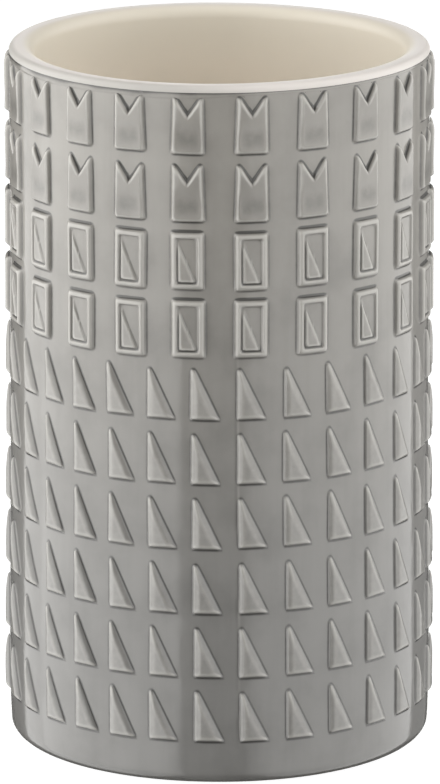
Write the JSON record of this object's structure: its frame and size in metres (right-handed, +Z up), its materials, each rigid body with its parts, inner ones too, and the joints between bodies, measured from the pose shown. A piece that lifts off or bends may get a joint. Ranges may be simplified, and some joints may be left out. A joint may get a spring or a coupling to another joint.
{
  "type": "bathroom tumbler",
  "caption": "Straight-sided glazed ceramic tumbler with a rounded pale lip and rows of moulded geometric relief, for water, toothbrushes or small vanity items.",
  "frame": {"origin": "on the tumbler's axis, in the plane of the foot ring that it stands on", "axes": "+Z up along the axis to the open lip, -Y towards the pictured front, +X to the right in that view"},
  "size_m": [0.0728, 0.0728, 0.12],
  "materials": {
    "clay": "bare fired clay, matt",
    "cream_glaze": "satin gloss",
    "grey_glaze": "satin gloss"
  },
  "bodies": {
    "root": {"clay_body": "clay", "inner_glaze": "cream_glaze", "outer_glaze": "grey_glaze", "notched_tile_row_1": "grey_glaze", "notched_tile_row_2": "grey_glaze", "frame_row_1": "grey_glaze", "frame_row_2": "grey_glaze", "frame_wedge_row_1": "grey_glaze", "frame_wedge_row_2": "grey_glaze", "triangle_row_1": "grey_glaze", "triangle_row_2": "grey_glaze", "triangle_row_3": "grey_glaze", "triangle_row_4": "grey_glaze", "triangle_row_5": "grey_glaze", "triangle_row_6": "grey_glaze"}
  },
  "joints": []
}
